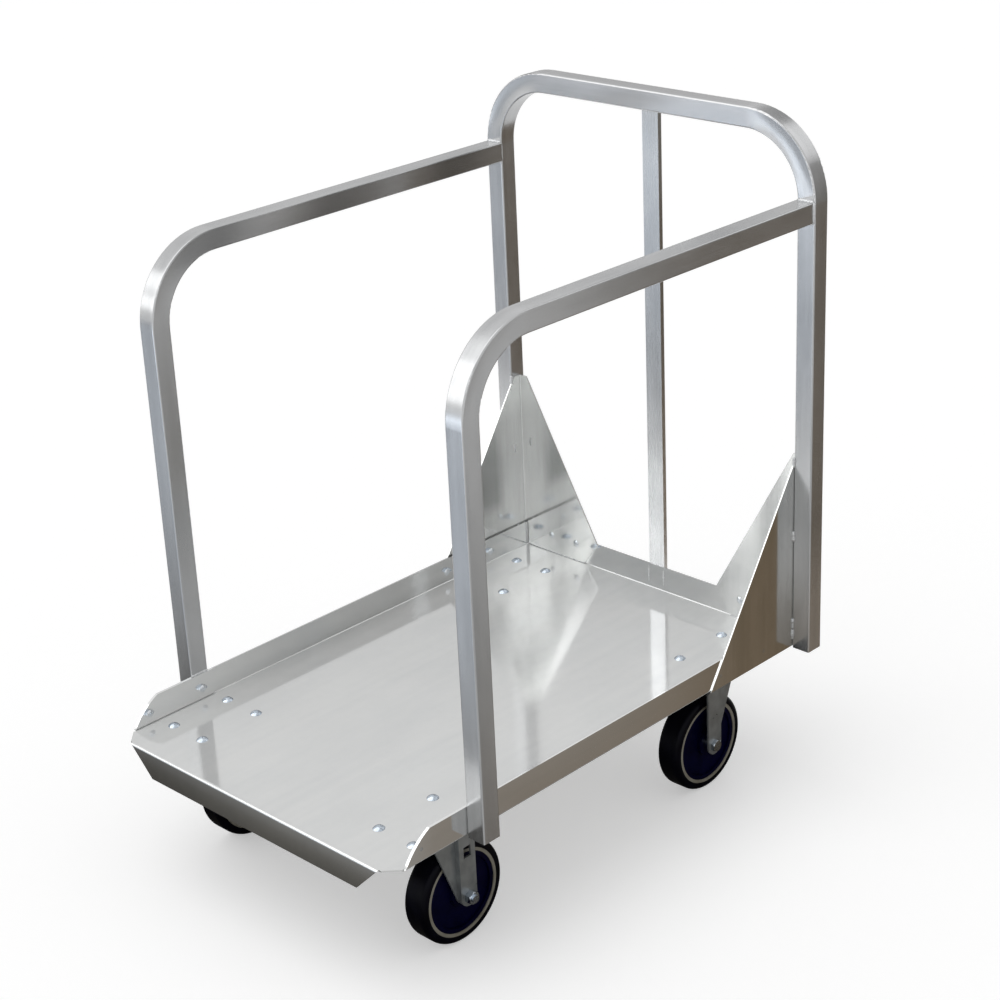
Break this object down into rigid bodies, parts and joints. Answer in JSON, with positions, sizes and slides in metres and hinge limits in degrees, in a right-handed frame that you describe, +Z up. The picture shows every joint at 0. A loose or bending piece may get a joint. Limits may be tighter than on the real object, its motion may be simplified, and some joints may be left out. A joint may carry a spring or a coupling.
{
  "type": "sheet pan cart",
  "caption": "Low aluminium cart for stacked sheet pans: folded tray on swivel casters, square tube side rails, corner gussets and a taller tube push handle.",
  "frame": {"origin": "on the floor, under the middle of the cart's plan", "axes": "+X to the cart's right as seen from its open front, +Y back to the push handle, +Z up"},
  "size_m": [0.526, 0.7214, 0.8447],
  "materials": {
    "sheet_aluminium": "bright mill sheet",
    "tube_aluminium": "bright drawn tube",
    "bar_aluminium": "satin flat bar",
    "gusset_aluminium": "bright mill sheet",
    "rivet_aluminium": "satin",
    "zinc_hardware": "bright zinc plate",
    "zinc_pressing": "zinc plate",
    "ball_steel": "polished",
    "core_plastic": "dark navy moulding",
    "band_plastic": "grey-beige moulding",
    "tread_rubber": "satin black"
  },
  "bodies": {
    "frame": {"deck_tray": "sheet_aluminium", "left_side_rail": "tube_aluminium", "right_side_rail": "tube_aluminium", "handle_hoop": "tube_aluminium", "centre_bar": "bar_aluminium", "left_front_bracket": "sheet_aluminium", "right_front_bracket": "sheet_aluminium", "left_rear_gusset": "gusset_aluminium", "right_rear_gusset": "gusset_aluminium", "flange_rivets": "rivet_aluminium", "caster_bolts": "zinc_hardware", "caster_nuts": "zinc_hardware", "front_left_caster_plate": "zinc_pressing", "front_left_kingpin": "zinc_hardware", "front_left_kingpin_nut": "zinc_hardware", "front_right_caster_plate": "zinc_pressing", "front_right_kingpin": "zinc_hardware", "front_right_kingpin_nut": "zinc_hardware", "rear_left_caster_plate": "zinc_pressing", "rear_left_kingpin": "zinc_hardware", "rear_left_kingpin_nut": "zinc_hardware", "rear_right_caster_plate": "zinc_pressing", "rear_right_kingpin": "zinc_hardware", "rear_right_kingpin_nut": "zinc_hardware"},
    "front_left_swivel": {"front_left_fork": "zinc_pressing", "front_left_ball_race": "ball_steel", "front_left_axle_sleeve": "zinc_hardware", "front_left_axle_bolt": "zinc_hardware", "front_left_axle_nut": "zinc_hardware"},
    "front_left_wheel": {"front_left_wheel_core": "core_plastic", "front_left_rim_band": "band_plastic", "front_left_tread": "tread_rubber"},
    "front_right_swivel": {"front_right_fork": "zinc_pressing", "front_right_ball_race": "ball_steel", "front_right_axle_sleeve": "zinc_hardware", "front_right_axle_bolt": "zinc_hardware", "front_right_axle_nut": "zinc_hardware"},
    "front_right_wheel": {"front_right_wheel_core": "core_plastic", "front_right_rim_band": "band_plastic", "front_right_tread": "tread_rubber"},
    "rear_left_swivel": {"rear_left_fork": "zinc_pressing", "rear_left_ball_race": "ball_steel", "rear_left_axle_sleeve": "zinc_hardware", "rear_left_axle_bolt": "zinc_hardware", "rear_left_axle_nut": "zinc_hardware"},
    "rear_left_wheel": {"rear_left_wheel_core": "core_plastic", "rear_left_rim_band": "band_plastic", "rear_left_tread": "tread_rubber"},
    "rear_right_swivel": {"rear_right_fork": "zinc_pressing", "rear_right_ball_race": "ball_steel", "rear_right_axle_sleeve": "zinc_hardware", "rear_right_axle_bolt": "zinc_hardware", "rear_right_axle_nut": "zinc_hardware"},
    "rear_right_wheel": {"rear_right_wheel_core": "core_plastic", "rear_right_rim_band": "band_plastic", "rear_right_tread": "tread_rubber"}
  },
  "joints": [
    {"name": "front_left_caster_turn", "type": "hinge", "parent": "frame", "child": "front_left_swivel", "pos_m": [-0.18, -0.25917, 0.158], "axis": [0, 0, 1], "continuous": true},
    {"name": "front_left_wheel_roll", "type": "hinge", "parent": "front_left_swivel", "child": "front_left_wheel", "pos_m": [-0.18, -0.22018, 0.0635], "axis": [1, 0, 0], "continuous": true},
    {"name": "front_right_caster_turn", "type": "hinge", "parent": "frame", "child": "front_right_swivel", "pos_m": [0.18, -0.25917, 0.158], "axis": [0, 0, 1], "continuous": true},
    {"name": "front_right_wheel_roll", "type": "hinge", "parent": "front_right_swivel", "child": "front_right_wheel", "pos_m": [0.18, -0.22018, 0.0635], "axis": [1, 0, 0], "continuous": true},
    {"name": "rear_left_caster_turn", "type": "hinge", "parent": "frame", "child": "rear_left_swivel", "pos_m": [-0.18, 0.25783, 0.158], "axis": [0, 0, 1], "continuous": true},
    {"name": "rear_left_wheel_roll", "type": "hinge", "parent": "rear_left_swivel", "child": "rear_left_wheel", "pos_m": [-0.18, 0.21882, 0.0635], "axis": [1, 0, 0], "continuous": true},
    {"name": "rear_right_caster_turn", "type": "hinge", "parent": "frame", "child": "rear_right_swivel", "pos_m": [0.18, 0.25783, 0.158], "axis": [0, 0, 1], "continuous": true},
    {"name": "rear_right_wheel_roll", "type": "hinge", "parent": "rear_right_swivel", "child": "rear_right_wheel", "pos_m": [0.18, 0.21882, 0.0635], "axis": [1, 0, 0], "continuous": true}
  ]
}
